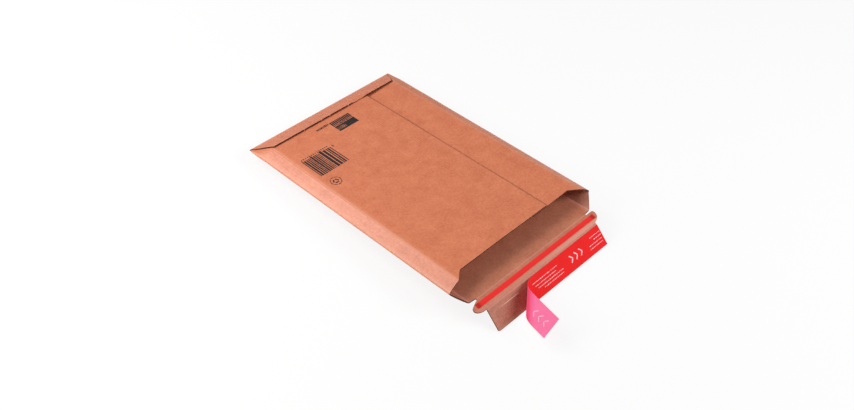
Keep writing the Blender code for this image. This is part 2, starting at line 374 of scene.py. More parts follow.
def rounded(points, cuts, steps):
    """A line through points, with each corner replaced by a curve that starts and ends at its cut."""
    out = []
    for i, (p, cut) in enumerate(zip(points, cuts)):
        p = np.array(p, float)
        if cut == 0:
            out.append(p)
            continue
        a = np.array(points[i - 1], float) - p
        c = np.array(points[i + 1], float) - p
        start = p + a * min(cut / np.linalg.norm(a), 0.45)
        end = p + c * min(cut / np.linalg.norm(c), 0.45)
        for k in range(steps + 1):
            u = k / steps
            out.append((1 - u) ** 2 * start + 2 * u * (1 - u) * p + u ** 2 * end)
    return out


def filled(points, counts):
    """The line with each stretch divided into its count of equal pieces."""
    out = [points[0]]
    for a, b, n in zip(points[:-1], points[1:], counts):
        for k in range(1, n + 1):
            out.append(a + (b - a) * k / n)
    return out


def nose_point(y, side):
    """Where the left side crease runs: it climbs from the mouth to the end flap, then dips."""
    u = (y - MOUTH_CREASE_Y) / (END_FLAP_Y - MOUTH_CREASE_Y)
    z = CREASE_Z + NOSE_RISE * u if u <= 1 else NOSE_FAR_Z
    return (-(NOSE_X - NOSE_IN * u), y, z + side * STEP / 2)


hip_slope = (FAR_UPPER_Z - TOP_Z) / (FAR_Y - END_FLAP_Y)
lap_far_z = TOP_Z + hip_slope * (LAP_FAR_Y - END_FLAP_Y) - STEP
drop_in = TOP_Z - STEP * (SIDE_X - MOUTH_TOP_HALF) / (SIDE_X - SLOPE_X)
left_lines = [
    [(-MOUTH_TOP_HALF, MOUTH_TOP_Y, TOP_Z), (-PANEL_HALF, END_FLAP_Y, TOP_Z),
     (-FAR_PANEL_HALF, FAR_Y, FAR_UPPER_Z)],
    [(-SIDE_X, MOUTH_CREASE_Y, TOP_Z), (-END_FLAP_HALF, END_FLAP_Y, TOP_Z),
     (-FAR_SIDE, FAR_Y, FAR_UPPER_Z)],
    [nose_point(y, 1) for y in (MOUTH_CREASE_Y, END_FLAP_Y, FAR_Y)],
    [nose_point(y, -1) for y in (MOUTH_CREASE_Y, BOTTOM_HIP_Y, FAR_Y)],
    [(-SIDE_X, CORNER_Y, MID), (-END_FLAP_HALF, BOTTOM_HIP_Y, MID), (-FAR_SIDE, FAR_Y, FAR_LOWER_Z)],
    [(-HINGE_HALF, NOSE_CUT, MID), (-PANEL_HALF, BOTTOM_HIP_Y, MID),
     (-FAR_PANEL_HALF, FAR_Y, FAR_LOWER_Z)],
]
lines = [[(SEAM_X, MOUTH_TOP_Y, TOP_Z), (SEAM_X, END_FLAP_Y, TOP_Z), (SEAM_X, FAR_Y, FAR_UPPER_Z)]]
lines += left_lines
lines += [[(-x, y, z) for x, y, z in line] for line in left_lines[::-1][:5]]
# At the mouth the right side crease stands further out and higher than the left one
for line in lines[9:11]:
    x, y, z = line[0]
    line[0] = (x, y - RIGHT_MOUTH_OUT, z + RIGHT_MOUTH_UP)
lines += [[(MOUTH_TOP_HALF, MOUTH_TOP_Y, drop_in), (PANEL_HALF, END_FLAP_Y, drop_in),
           (FAR_PANEL_HALF, FAR_Y, FAR_UPPER_Z)]]
for x in (SLOPE_X, LAP_EDGE_X):
    lines.append([(x, MOUTH_TOP_Y, LAP_Z), (x, END_FLAP_Y, LAP_Z), (x, LAP_FAR_Y, lap_far_z)])

CREASE_ROUND = 0.0018
HIP_ROUND = 0.0040
NOSE_ROUND = 0.0009
HIP_STEPS = 5
HIP_ROWS = 4
CREASE_STEPS = 5
main_rows = round((END_FLAP_Y - MOUTH_TOP_Y) / ROW_SPACING)
row_counts = [main_rows] + [1] * HIP_STEPS + [HIP_ROWS]
runs = [filled(rounded(line, (0, HIP_ROUND, 0), HIP_STEPS), row_counts) for line in lines]
side_cuts = [CREASE_ROUND, NOSE_ROUND, NOSE_ROUND, CREASE_ROUND]
section_cuts = [0, 0] + side_cuts + [0, 0] + side_cuts + [0, HIP_ROUND, 0]
sections = [
    rounded([run[r] for run in runs], section_cuts, CREASE_STEPS) for r in range(len(runs[0]))]
widths = [np.linalg.norm(b - a) for a, b in zip(sections[0][:-1], sections[0][1:])]
column_counts = [max(1, round(w / COLUMN_SPACING)) for w in widths]
grid = np.array([filled(section, column_counts) for section in sections])


def smooth(u):
    """A ramp from 0 to 1 that starts and ends gently."""
    u = np.clip(u, 0.0, 1.0)
    return u * u * (3 - 2 * u)


def panel_wave(x, y):
    """How far the popped top panels stand off flat, dying out at the creases and the end flap."""
    full = 2 * math.pi
    wave = 0.00026 * np.sin(full * (y / 0.190 + 0.20)) * np.sin(full * (x / 0.215 + 0.30))
    wave += 0.00012 * np.sin(full * (y / 0.083 + 0.05)) * np.sin(full * (x / 0.104 + 0.65))
    wave += 0.00005 * np.sin(full * (y / 0.047 + x / 0.071))
    calm = smooth((END_FLAP_Y - 0.004 - y) / 0.030) * smooth((SIDE_X - 0.003 - np.abs(x)) / 0.018)
    return wave * calm


def facet_wave(x, y):
    """How far a sloping side facet bows out of its plane."""
    t = np.clip((np.abs(x) - SIDE_X) / (NOSE_X - SIDE_X), 0.0, 1.0)
    wave = 0.00022 * np.sin(2 * math.pi * (y / 0.137 + 0.13))
    wave += 0.00012 * np.sin(2 * math.pi * y / 0.053)
    return 4 * t * (1 - t) * wave * smooth((END_FLAP_Y - y) / 0.03)


# Length round each row from the seam edge, and the columns on which the creases lie
steps = np.linalg.norm(np.diff(grid, axis=1), axis=2)
round_at = np.concatenate((np.zeros((len(grid), 1)), np.cumsum(steps, axis=1)), axis=1)
CREASE_CORNERS = (2, 3, 4, 5, 8, 9, 10, 11)
crease_columns = []
stop = 0
for corner, cut in enumerate(section_cuts):
    if corner in CREASE_CORNERS:
        crease_columns.append(sum(column_counts[:stop]) + CREASE_STEPS // 2)
    stop += 1 if cut == 0 else CREASE_STEPS + 1


def surface_normals(points):
    """Unit normals of a grid of points, on the side from which its columns run clockwise."""
    along = np.gradient(points, axis=0)
    across = np.gradient(points, axis=1)
    normals = np.cross(along, across)
    return normals / np.linalg.norm(normals, axis=2, keepdims=True)


def shell(points, normals, low, high, uv, crease, kinds):
    """A closed sheet between two offsets of a grid. Kinds are the materials of its face, back and rim."""
    rows, cols = points.shape[:2]
    low = np.broadcast_to(low, (rows, cols))
    high = np.broadcast_to(high, (rows, cols))
    face = points + normals * high[..., None]
    back = points + normals * low[..., None]
    i = np.arange(rows * cols).reshape(rows, cols)
    a, b, c, d = i[:-1, :-1], i[:-1, 1:], i[1:, 1:], i[1:, :-1]
    deep = rows * cols
    quads = [
        np.stack((a, d, c, b), -1).reshape(-1, 4),
        np.stack((a, b, c, d), -1).reshape(-1, 4) + deep]
    rims = []
    for start, end in (
            (i[0, :-1], i[0, 1:]), (i[-1, 1:], i[-1, :-1]),
            (i[1:, 0], i[:-1, 0]), (i[:-1, -1], i[1:, -1])):
        rims.append(np.stack((start, end, end + deep, start + deep), -1))
    quads.append(np.concatenate(rims))
    return {
        "points": np.concatenate((face.reshape(-1, 3), back.reshape(-1, 3))),
        "faces": np.concatenate(quads),
        "kinds": np.concatenate([np.full(len(q), k) for q, k in zip(quads, kinds)]),
        "uv": np.tile(uv.reshape(-1, 2), (2, 1)),
        "crease": np.tile(np.broadcast_to(crease, (rows, cols)).reshape(-1), 2)}


TABLE_Z = 0.00001
SHARP = math.radians(40)


def make_piece(name, shells, paints, place):
    """One object from closed sheets, moved to its place, with nothing under the table."""
    starts = np.cumsum([0] + [len(s["points"]) for s in shells])
    points = np.concatenate([s["points"] for s in shells])
    faces = np.concatenate([s["faces"] + n for s, n in zip(shells, starts)])
    uv = np.concatenate([s["uv"] for s in shells])
    mesh = bpy.data.meshes.new(name)
    mesh.from_pydata(points.tolist(), [], faces.tolist())
    for paint in paints:
        mesh.materials.append(paint)
    kinds = np.concatenate([s["kinds"] for s in shells])
    mesh.polygons.foreach_set("material_index", kinds.astype(np.int32))
    layer = mesh.uv_layers.new(name="board")
    layer.data.foreach_set("uv", uv[faces.reshape(-1)].astype(np.float32).reshape(-1))
    mark = mesh.attributes.new("crease", "FLOAT", "POINT")
    mark.data.foreach_set("value", np.concatenate([s["crease"] for s in shells]).astype(np.float32))
    mesh.transform(place)
    for v in mesh.vertices:
        v.co.z = max(v.co.z, TABLE_Z)
    mesh.shade_smooth()
    mesh.set_sharp_from_angle(angle=SHARP)
    mesh.update()
    obj = bpy.data.objects.new(name, mesh)
    bpy.context.scene.collection.objects.link(obj)
    return obj


def board_shells(points, normals, half, uv, crease, core_rows):
    """Outer and inner face papers of the board, and a solid middle behind its cut edges in the fourth
    paint: near black, as painted shade inside the flutes.
    """
    half = np.broadcast_to(half, points.shape[:2])
    shells = [
        shell(points, normals, half - LINER, half, uv, crease, (0, 2, 2)),
        shell(points, normals, -half, LINER - half, uv, crease, (2, 1, 2))]
    if core_rows is not None:
        r = core_rows
        inside = (half - LINER + 0.00002)[r]
        shells.append(shell(points[r], normals[r], -inside, inside, uv[r], 0.0, (3, 3, 3)))
    return shells


# The board is thinner where a crease crushes it
CREASE_WIDTH = 0.0016
CREASE_CRUSH = 0.22
crease_near = np.max(
    [np.exp(-((round_at - round_at[:, c:c + 1]) / CREASE_WIDTH) ** 2) for c in crease_columns], axis=0)
half = MID * (1 - CREASE_CRUSH * crease_near)
uv = np.stack((np.broadcast_to(round_at[0], round_at.shape), grid[:, :, 1]), -1)

# A painted shadow runs along the narrow panel beside the wide panel's edge, where the lap steps down
SEAM_SHADOW_X = SEAM_X + 0.0020
SEAM_SHADOW_WIDTH = 0.0040
narrow = slice(sum(column_counts[:len(widths) - HIP_STEPS - 2]), None)
seam_shadow_at = np.interp(SEAM_SHADOW_X, grid[0, narrow, 0][::-1], round_at[0, narrow][::-1])
seam_shadow_line(kraft_outside, seam_shadow_at, SEAM_SHADOW_WIDTH, (0.17, 0.048, 0.026))

# The end flap starts from the far edge of the bottom panel, turns up round the layers of the
# far end, and lies down over the hip of the top panel
wing = [
    i for i, p in enumerate(grid[-1])
    if abs(p[2] - FAR_LOWER_Z) < 1e-6 and abs(p[0]) < FAR_SIDE + 1e-5]
fold_mid_z = (FAR_LOWER_Z + FAR_FLAP_Z) / 2
fold_half_z = (FAR_FLAP_Z - FAR_LOWER_Z) / 2
fold_out = LENGTH - MID - FAR_Y
FLAP_SPREAD = 0.0027
FOLD_ROWS = 8
flap_rows = []
for k in range(1, FOLD_ROWS + 1):
    a = math.radians(-90 + 180 * k / FOLD_ROWS)
    spread = 1 + math.cos(a) * FLAP_SPREAD / FAR_SIDE
    row = grid[-1, wing].copy()
    row[:, 0] *= spread
    row[:, 1] = FAR_Y + fold_out * math.cos(a)
    row[:, 2] = fold_mid_z + fold_half_z * math.sin(a)
    flap_rows.append(row)
# Its free edge runs on a little past the hip, and stands clear of it
FLAP_OVER = 0.0020
TIP_LIFT = 0.0004
TIP_HALF = END_FLAP_HALF - 0.0005
FLAP_ROWS = 6
tip_share = math.hypot(1, hip_slope)
tip_y = END_FLAP_Y - STEP * hip_slope / tip_share - FLAP_OVER
tip_z = TOP_Z + STEP / tip_share + TIP_LIFT
start_row = flap_rows[-1]
for k in range(1, FLAP_ROWS + 1):
    u = k / FLAP_ROWS
    row = start_row.copy()
    row[:, 0] = start_row[:, 0] * (1 - u) + grid[-1, wing][:, 0] * TIP_HALF / FAR_SIDE * u
    row[:, 1] = start_row[:, 1] * (1 - u) + tip_y * u
    row[:, 2] = start_row[:, 2] * (1 - u) + tip_z * u
    flap_rows.append(row)
long_grid = np.concatenate((grid[:, wing], np.array(flap_rows)))
long_normals = surface_normals(long_grid)
normals = surface_normals(grid)
normals[-1, wing] = long_normals[len(grid) - 1]
# The panels and facets are not dead flat, but their creases stay straight
off_middle = np.abs(grid[..., 0])
on_top = (grid[..., 2] > CREASE_Z + 0.0022) & (off_middle < SIDE_X - 0.001)
grid[..., 2] += np.where(on_top, panel_wave(grid[..., 0], grid[..., 1]), 0.0)
on_side = (off_middle > SIDE_X + 0.001) & (off_middle < NOSE_X - 0.0008)
grid += normals * np.where(on_side, facet_wave(grid[..., 0], grid[..., 1]), 0.0)[..., None]
flap_grid = long_grid[len(grid) - 1:]
flap_normals = long_normals[len(grid) - 1:]
flap_steps = np.linalg.norm(np.diff(flap_grid[:, len(wing) // 2], axis=0), axis=1)
flap_run = np.concatenate(([0], np.cumsum(flap_steps)))
flap_uv = np.stack((
    flap_grid[..., 0], np.broadcast_to(flap_run[:, None] + FAR_Y, flap_grid.shape[:2])), -1)
FOLD_AT = 0.003
FOLD_WIDTH = 0.0022
FOLD_CRUSH = 0.15
flap_crease = np.exp(-((flap_run - FOLD_AT) / FOLD_WIDTH) ** 2)[:, None] * np.ones(len(wing))
flap_half = MID * (1 - FOLD_CRUSH * flap_crease)
# Beside the lap the flap's free edge is pressed down hard and hardly shows
CRUSH_FROM = 0.0270
CRUSH_TO = 0.0550
CRUSH_DEPTH = 0.0075
CRUSH_SHARE = 0.60
tip_near = smooth((flap_run - (flap_run[-1] - CRUSH_DEPTH)) / CRUSH_DEPTH)[:, None]
crush_x = smooth((flap_grid[..., 0] - CRUSH_FROM) / 0.008)
crush_x = crush_x * smooth((CRUSH_TO - flap_grid[..., 0]) / 0.004)
crush = tip_near * crush_x
flap_half = flap_half * (1 - CRUSH_SHARE * crush)
flap_grid[..., 2] -= crush * (CRUSH_SHARE * MID + 0.9 * LAYER_GAP)

PINCH_X = 0.104
PINCH_Y = 0.345
PINCH_Z = 0.0166
PINCH_SHARE = 0.55


def pinched(points):
    """The far corners squeezed together, where three layers of board run out to a point."""
    share = smooth((np.abs(points[:, 0]) - PINCH_X) / 0.020)
    share = share * smooth((points[:, 1] - PINCH_Y) / 0.018)
    out = points.copy()
    out[:, 2] += (PINCH_Z - points[:, 2]) * PINCH_SHARE * share
    return out


pocket_shells = board_shells(grid, normals, half, uv, crease_near, slice(1, None))
pocket_shells += board_shells(flap_grid, flap_normals, flap_half, flap_uv, flap_crease, slice(0, -1))
# At its right end the flap is cut on a slant, so that its lower paper stands out beyond the upper
LEDGE = 0.0011
ledge_grid = np.stack((flap_grid[FOLD_ROWS:, -1], flap_grid[FOLD_ROWS:, -1]), axis=1)
ledge_share = smooth(np.arange(len(ledge_grid)) / 2.0)
ledge_grid[:, 0, 0] -= 0.0002
ledge_grid[:, 1, 0] += LEDGE * ledge_share
ledge_normals = np.repeat(flap_normals[FOLD_ROWS:, -1:], 2, axis=1)
# The ledge takes the near-black paint: a painted shadow along the flap's right end.
pocket_shells.append(shell(
    ledge_grid, ledge_normals, -MID, -0.35 * MID, ledge_grid[..., :2], 0.0, (3, 3, 3)))
# Small nicks of paper, left by the cutting die, bridge the flap's free edge here and there
NICKS_X = (-0.0540, -0.0240, -0.0100, 0.0230)
NICK_HALF = 0.0009
for x in NICKS_X:
    nick = np.array([
        [(x + dx, tip_y, z) for dx in (NICK_HALF, 0.0, -NICK_HALF)]
        for z in (tip_z - MID - LAYER_GAP, tip_z, tip_z + 0.9 * MID)])
    nick_normals = surface_normals(nick)
    pocket_shells.append(shell(nick, nick_normals, -0.0003, 0.0002, nick[..., :2], 0.0, (0, 0, 0)))
for s in pocket_shells:
    s["points"] = pinched(s["points"])
pocket_paints = (kraft_outside, kraft_inside, cut_edge_shade_paint, hollow_painted_shade)
pocket = make_piece("mailer_pocket", pocket_shells, pocket_paints, lay_down)
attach(pocket, "pocket")
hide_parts("pocket")


# Fluted middle
# Between the two faces runs a third paper, pressed into waves and glued to both. Its waves show
# as a row of small arches wherever the board is cut across them.
def growth_tree(name, inputs):
    """A node tree with named inputs and one geometry output, still empty between the two."""
    tree = bpy.data.node_groups.new(name, "GeometryNodeTree")
    for label, kind in inputs:
        tree.interface.new_socket(name=label, in_out="INPUT", socket_type=kind)
    tree.interface.new_socket(name="Geometry", in_out="OUTPUT", socket_type="NodeSocketGeometry")
    return tree, tree.nodes.new("NodeGroupInput"), tree.nodes.new("NodeGroupOutput")


def stored(tree, name, kind):
    """A value that the mesh itself carries at each point."""
    node = tree.nodes.new("GeometryNodeInputNamedAttribute")
    node.data_type = kind
    node.inputs["Name"].default_value = name
    return node.outputs["Attribute"]


def finish_tree(tree, tree_in, tree_out, geometry):
    """Ends a tree in real geometry in the tree's own paint."""
    real = tree.nodes.new("GeometryNodeRealizeInstances")
    coat = tree.nodes.new("GeometryNodeSetMaterial")
    link(tree, geometry, real.inputs["Geometry"])
    link(tree, real.outputs["Geometry"], coat.inputs["Geometry"])
    link(tree, tree_in.outputs["Paint"], coat.inputs["Material"])
    link(tree, coat.outputs["Geometry"], tree_out.inputs["Geometry"])


flute_tree, sheet_in, sheet_out = growth_tree(
    "flutes",
    [("Geometry", "NodeSocketGeometry"), ("Pitch", "NodeSocketFloat"), ("Paper", "NodeSocketFloat"),
     ("Paint", "NodeSocketMaterial")])
run = stored(flute_tree, "round", "FLOAT")
swing = stored(flute_tree, "swing", "FLOAT_VECTOR")
turns = maths(flute_tree, "DIVIDE", run, sheet_in.outputs["Pitch"])
wave = maths(flute_tree, "SINE", maths(flute_tree, "MULTIPLY", turns, 2 * math.pi))
offset = flute_tree.nodes.new("ShaderNodeVectorMath")
offset.operation = "SCALE"
link(flute_tree, swing, offset.inputs[0])
link(flute_tree, wave, offset.inputs["Scale"])
press = flute_tree.nodes.new("GeometryNodeSetPosition")
link(flute_tree, sheet_in.outputs["Geometry"], press.inputs["Geometry"])
link(flute_tree, offset.outputs[0], press.inputs["Offset"])
thick = flute_tree.nodes.new("GeometryNodeExtrudeMesh")
thick.inputs["Individual"].default_value = False
link(flute_tree, press.outputs["Geometry"], thick.inputs["Mesh"])
link(flute_tree, sheet_in.outputs["Paper"], thick.inputs["Offset Scale"])
back = flute_tree.nodes.new("GeometryNodeFlipFaces")
link(flute_tree, press.outputs["Geometry"], back.inputs["Mesh"])
both = flute_tree.nodes.new("GeometryNodeJoinGeometry")
link(flute_tree, thick.outputs["Mesh"], both.inputs[0])
link(flute_tree, back.outputs["Mesh"], both.inputs[0])
weld = flute_tree.nodes.new("GeometryNodeMergeByDistance")
weld.inputs["Distance"].default_value = 0.000001
link(flute_tree, both.outputs[0], weld.inputs["Geometry"])
finish_tree(flute_tree, sheet_in, sheet_out, weld.outputs["Geometry"])


def grown(obj, tree, values):
    """Gives the object the mesh that its tree makes, with the tree's named inputs set first."""
    modifier = obj.modifiers.new("grow", "NODES")
    modifier.node_group = tree
    for item in tree.interface.items_tree:
        if item.in_out == "INPUT" and item.name in values:
            modifier[item.identifier] = values[item.name]
    bpy.context.view_layer.update()
    seen = obj.evaluated_get(bpy.context.evaluated_depsgraph_get())
    mesh = bpy.data.meshes.new_from_object(seen)
    mesh.name = obj.name
    obj.modifiers.remove(modifier)
    old = obj.data
    obj.data = mesh
    bpy.data.meshes.remove(old)
    return obj


PAPER = 0.0002
FLUTE_CUTS = 16


def flute_strip(name, edges, place):
    """A waved sheet along a cut edge. Edges are rows of points, normals and half thicknesses."""
    edge_steps = np.linalg.norm(np.diff(edges[0][0], axis=0), axis=1)
    edge_run = np.concatenate(([0], np.cumsum(edge_steps)))
    length = edge_run[-1]
    own = edge_run / length
    count = int(length / FLUTE_PITCH * FLUTE_CUTS) + 1
    at = np.linspace(0, 1, count)
    points = np.array([
        np.stack([np.interp(at, own, row[:, k]) for k in range(3)], -1) for row, _, _ in edges])
    normal = np.array([
        np.stack([np.interp(at, own, row[:, k]) for k in range(3)], -1) for _, row, _ in edges])
    normal /= np.linalg.norm(normal, axis=2, keepdims=True)
    half_here = np.array([np.interp(at, own, row) for _, _, row in edges])
    i = np.arange(len(edges) * count).reshape(len(edges), count)
    quads = np.stack((i[:-1, :-1], i[1:, :-1], i[1:, 1:], i[:-1, 1:]), -1).reshape(-1, 4)
    base = points - normal * PAPER / 2
    mesh = bpy.data.meshes.new(name)
    mesh.from_pydata(base.reshape(-1, 3).tolist(), [], quads.tolist())
    run_mark = mesh.attributes.new("round", "FLOAT", "POINT")
    run_mark.data.foreach_set("value", np.tile(at * length, len(edges)).astype(np.float32))
    swing_mark = mesh.attributes.new("swing", "FLOAT_VECTOR", "POINT")
    amplitude = (half_here - LINER - PAPER / 2)[..., None] * normal
    swing_mark.data.foreach_set("vector", amplitude.astype(np.float32).reshape(-1))
    obj = bpy.data.objects.new(name, mesh)
    bpy.context.scene.collection.objects.link(obj)
    # The fluted paper takes the same dark paint, as painted shade of the holes it leaves.
    grown(obj, flute_tree, {"Pitch": FLUTE_PITCH, "Paper": PAPER, "Paint": cut_edge_shade_paint})
    obj.data.transform(place)
    obj.data.shade_smooth()
    obj.data.set_sharp_from_angle(angle=SHARP)
    return obj


mouth_rows = [(grid[r], normals[r], half[r]) for r in (0, 1)]
mouth_flutes = flute_strip("mouth_flutes", mouth_rows, lay_down)
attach(mouth_flutes, "pocket")
tip_rows = [(flap_grid[r], flap_normals[r], flap_half[r]) for r in (-2, -1)]
tip_flutes = flute_strip("end_flap_flutes", tip_rows, lay_down)
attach(tip_flutes, "pocket")


# Closing flap
# The bottom panel runs on past the mouth as a narrow band with rounded ears, and beyond a
# second crease as a tongue. Each is drawn flat from its crease and turned to its own droop.
BAND_DEPTH = 0.01705
LEFT_EAR_NEAR = (
    (0.1005, 0.0009), (0.1035, 0.0020), (0.1090, 0.0042), (0.1125, 0.0060), (0.1140, 0.0079),
    (0.1144, 0.0096))
LEFT_EAR_FAR = (
    (0.0990, 0.0162), (0.1050, 0.0161), (0.1090, 0.0151), (0.1122, 0.0134), (0.1138, 0.0117),
    (0.1144, 0.0100))
RIGHT_EAR_NEAR = (
    (0.1005, 0.0009), (0.1100, 0.0009), (0.1118, 0.0013), (0.1128, 0.0026), (0.1131, 0.0045))
RIGHT_EAR_FAR = (
    (0.0990, 0.0162), (0.1030, 0.0146), (0.1070, 0.0130), (0.1100, 0.0112), (0.1121, 0.0086),
    (0.1131, 0.0050))
BAND_ROWS = 16
BAND_DROOP = math.radians(14.2)
TONGUE_DEPTH = 0.0282
TONGUE_HALF = 0.1007
TONGUE_CORNER = 0.002
TONGUE_ROWS = 8
TONGUE_DROOP = math.radians(45.2)
CREASE_GAP = 0.0009
BOARD_COLUMNS = 40
band_place = lay_down @ Matrix.Translation((0, 0, MID)) @ Matrix.Rotation(BAND_DROOP, 4, "X")
fold_level = Vector((0, -BAND_DEPTH * math.cos(BAND_DROOP), MID - BAND_DEPTH * math.sin(BAND_DROOP)))
tongue_place = lay_down @ Matrix.Translation(fold_level) @ Matrix.Rotation(TONGUE_DROOP, 4, "X")


def corner_cut(x, half_width, radius):
    """How far a rounded corner pulls an edge in at x."""
    over = max(0.0, abs(x) - (half_width - radius))
    return radius - math.sqrt(max(0.0, radius ** 2 - over ** 2))


def flat_blank(half_width, near, far, near_radius, far_radius, columns, rows):
    """A flat sheet as a grid: columns along X, and rows from its near edge to its far edge."""
    inner = half_width - max(near_radius, far_radius)
    xs = list(np.linspace(-inner, inner, columns))
    turns = (15, 30, 45, 60, 75, 84, 90)
    ends = [inner + (half_width - inner) * math.sin(math.radians(a)) for a in turns]
    xs = [-x for x in ends[::-1]] + xs + ends
    out = []
    for r in range(rows):
        row = []
        for x in xs:
            a = near + corner_cut(x, half_width, near_radius)
            b = far - corner_cut(x, half_width, far_radius)
            row.append((x, -(a + (b - a) * r / (rows - 1)), 0.0))
        out.append(row)
    return np.array(out)


def blank_shells(points, wear_and_sheen):
    """The board's papers over a flat sheet. Its upper side is the inside of the mailer."""
    board_normals = surface_normals(points)
    shells = board_shells(points, board_normals, MID, points[..., :2], wear_and_sheen, None)
    for s in shells:
        s["kinds"] = np.array((1, 0, 2))[s["kinds"]]
    return shells, board_normals


ear_xs = [0.1005, 0.1020, 0.1040, 0.1060, 0.1080, 0.1095, 0.1108, 0.1119, 0.1127]
left_xs = [-x for x in (0.1144, 0.1141, 0.1136)] + [-x for x in ear_xs[::-1]]
right_xs = ear_xs + [0.1130, 0.1131]
plain_xs = list(np.linspace(-0.0990, 0.0990, BOARD_COLUMNS))
band_rows = []
for x in left_xs + plain_xs + right_xs:
    near_line, far_line = (LEFT_EAR_NEAR, LEFT_EAR_FAR) if x < 0 else (RIGHT_EAR_NEAR, RIGHT_EAR_FAR)
    near = np.interp(abs(x), *zip(*near_line))
    far = np.interp(abs(x), *zip(*far_line))
    depths = [near + (far - near) * k / (BAND_ROWS - 1) for k in range(BAND_ROWS)]
    band_rows.append([(x, -depth, 0.0) for depth in depths])
band_flat = np.array(band_rows).transpose(1, 0, 2)
# Beyond the tape the band is painted paler, more so towards the right: a painted sheen
band_sheen_right = smooth((band_flat[..., 0] + 0.05) / 0.12)
band_painted_sheen = smooth((-band_flat[..., 1] - 0.0104) / 0.0012) * (0.35 + 0.65 * band_sheen_right)
shells, band_normals = blank_shells(band_flat, band_painted_sheen)
band = make_piece("flap_band_board", shells, (kraft_outside, kraft_inside, cut_edge_shade_paint), band_place)
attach(band, "band")
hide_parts("flap_band")
full = np.full(band_flat.shape[1], MID)
band_edges = [(band_flat[r], band_normals[r], full) for r in (0, BAND_ROWS // 2, BAND_ROWS - 1)]
band_flutes = flute_strip("band_flutes", band_edges, band_place)
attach(band_flutes, "band")

tongue_flat = flat_blank(
    TONGUE_HALF, CREASE_GAP, TONGUE_DEPTH, 0.0005, TONGUE_CORNER, BOARD_COLUMNS, TONGUE_ROWS)
shells, tongue_normals = blank_shells(tongue_flat, 0.0)
tongue = make_piece(
    "flap_tongue_board", shells, (kraft_outside, kraft_inside, cut_edge_shade_paint), tongue_place)
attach(tongue, "tongue")
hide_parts("flap_tongue")
full = np.full(tongue_flat.shape[1], MID)
tongue_edges = [(tongue_flat[r], tongue_normals[r], full) for r in (0, TONGUE_ROWS // 2, TONGUE_ROWS - 1)]
tongue_flutes = flute_strip("tongue_flutes", tongue_edges, tongue_place)
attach(tongue_flutes, "tongue")


# Creases of the flap
# At each crease the board is crushed to its papers, which run on unbroken from one panel to
# the next and bend with the flap.
CREASE_REACH = 0.0022
CREASE_PAPER = 0.00022
CREASE_ROWS = 9
CREASE_DIP = 0.55 * (MID - 0.0003)
CREASE_FLAT = 0.0014


def crease_skin(name, half_width, before, after, side, paint_kinds):
    """One paper over a crease. Before and after place flat panels that meet on the crease line."""
    xs = np.linspace(-half_width, half_width, BOARD_COLUMNS)
    rows = []
    for k in range(CREASE_ROWS):
        v = -CREASE_REACH + 2 * CREASE_REACH * k / (CREASE_ROWS - 1)
        place = before if v < 0 else after
        dip = CREASE_DIP * math.exp(-(v / 0.0009) ** 2)
        sink = 0.00008 * max(0.0, (abs(v) - CREASE_FLAT) / (CREASE_REACH - CREASE_FLAT))
        height = side * (MID + 0.00002 - dip - sink)
        rows.append([place @ Vector((x, -v, height)) for x in xs])
    points = np.array(rows)
    middle = CREASE_ROWS // 2
    points[middle] = (points[middle - 1] + points[middle + 1]) / 2
    skin_normals = surface_normals(points)
    across = np.linspace(0, 2 * CREASE_REACH, CREASE_ROWS)[:, None]
    skin_uv = np.stack(
        (np.broadcast_to(xs, points.shape[:2]), np.broadcast_to(across, points.shape[:2])), -1)
    wear_and_sheen = 0.55 * np.exp(-((skin_uv[..., 1] - CREASE_REACH) / 0.0007) ** 2)
    low, high = (-CREASE_PAPER, 0.0) if side > 0 else (0.0, CREASE_PAPER)
    obj = make_piece(
        name, [shell(points, skin_normals, low, high, skin_uv, wear_and_sheen, paint_kinds)],
        (kraft_outside, kraft_inside, cut_edge_shade_paint), Matrix.Identity(4))
    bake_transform(obj)


panel_place = lay_down @ Matrix.Translation((0, 0, MID))
band_end_place = band_place @ Matrix.Translation((0, -BAND_DEPTH, 0))
for label, side, kinds in (("inside", 1, (1, 2, 2)), ("outside", -1, (2, 0, 2))):
    crease_skin(
        "base_crease_" + label, HINGE_HALF, panel_place, band_place, side, kinds)
for label, side, kinds in (("inside", 1, (1, 2, 2)), ("outside", -1, (2, 0, 2))):
    crease_skin(
        "fold_" + label, TONGUE_HALF, band_end_place, tongue_place, side, kinds)


# Tear tape
# A red polyester tape heat-fixed along the band, from ear to ear. Pulling one end tears the
# closed mailer open.
TAPE_NEAR = 0.0042
TAPE_WIDTH = 0.0063
TAPE_HALF = 0.1080


def film_paint(name, colour, rough, dark, shine):
    """A printed film or coated paper: an even colour with slow drift, fine grain and darker marks."""
    paint = bpy.data.materials.new(name)
    paint.use_nodes = True
    tree = paint.node_tree
    shader = tree.nodes["Principled BSDF"]
    shader.inputs["Specular IOR Level"].default_value = shine
    place = tree.nodes.new("ShaderNodeTexCoord")
    drift = noise(tree, place.outputs["Object"], 90.0, 2.0)
    pale = tuple(min(1.0, c * 1.06 + 0.004) for c in colour)
    deep = tuple(c * 0.9 for c in colour)
    mark = tree.nodes.new("ShaderNodeAttribute")
    mark.attribute_name = "crease"
    drifting = mix_colour(tree, drift, deep, pale)
    marked = mix_colour(tree, mark.outputs["Fac"], drifting, dark)
    link(tree, marked, shader.inputs["Base Color"])
    grain = noise(tree, place.outputs["Object"], 700.0, 3.0)
    rough_here = spread_range(tree, grain, 0.3, 0.7, rough - 0.05, rough + 0.07)
    link(tree, rough_here, shader.inputs["Roughness"])
    bump = tree.nodes.new("ShaderNodeBump")
    bump.inputs["Distance"].default_value = 0.0004
    bump.inputs["Strength"].default_value = 0.25
    link(tree, grain, bump.inputs["Height"])
    link(tree, bump.outputs["Normal"], shader.inputs["Normal"])
    return paint


